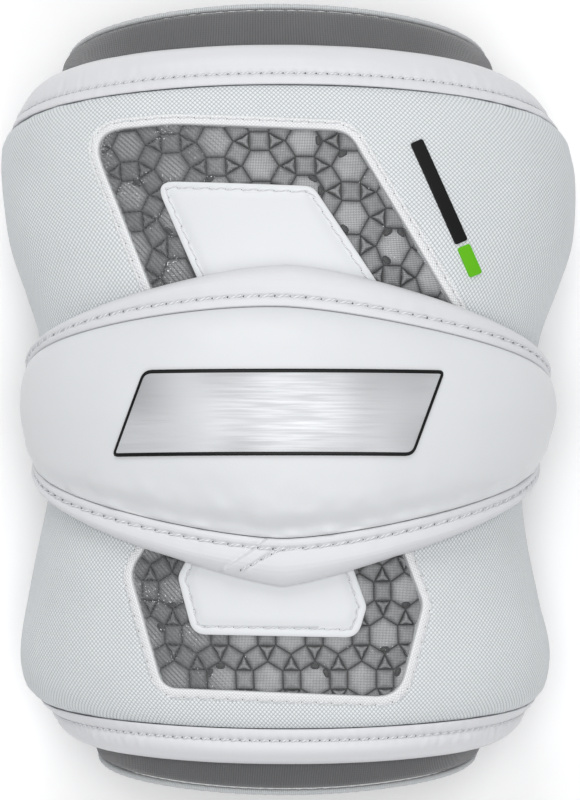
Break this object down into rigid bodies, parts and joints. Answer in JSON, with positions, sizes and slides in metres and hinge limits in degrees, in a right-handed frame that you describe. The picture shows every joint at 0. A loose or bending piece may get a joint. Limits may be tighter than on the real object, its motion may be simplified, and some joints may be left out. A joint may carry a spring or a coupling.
{
  "type": "elbow pad",
  "caption": "Padded sports elbow guard: two soft shells with cell-foam windows on a knit liner, a puffed floating elbow cap and straps across its open back.",
  "frame": {"origin": "middle of the pad's footprint, on the surface it lies on", "axes": "+X across the arm, +Y along it to the upper arm, +Z out of the elbow cap"},
  "size_m": [0.1861, 0.2529, 0.1229],
  "materials": {
    "grey_knit": "ribbed knit, matte",
    "light_grey_tape": "narrow binding tape, matte",
    "white_woven_nylon": "fine plain weave, slight sheen",
    "white_smooth_leather": "smooth synthetic leather, satin",
    "grey_cell_foam": "moulded cells under fine mesh, satin",
    "silver_badge": "brushed silver film",
    "black_bar": "raised rubber print",
    "green_tip": "raised rubber print",
    "white_webbing": "flat elastic webbing, matte"
  },
  "bodies": {
    "root": {"liner": "grey_knit", "liner_trim_upper": "light_grey_tape", "liner_trim_lower": "light_grey_tape", "upper_shell": "white_woven_nylon", "lower_shell": "white_woven_nylon", "upper_edge_band": "white_smooth_leather", "lower_edge_band": "white_smooth_leather", "upper_cell_insert": "grey_cell_foam", "lower_cell_insert": "grey_cell_foam", "upper_centre_patch": "white_smooth_leather", "lower_centre_patch": "white_smooth_leather", "cap_panel": "white_smooth_leather", "cap_rim": "white_smooth_leather", "cap_badge": "silver_badge", "side_bar": "black_bar", "side_bar_tip": "green_tip", "upper_strap": "white_webbing", "lower_strap": "white_webbing"}
  },
  "joints": []
}
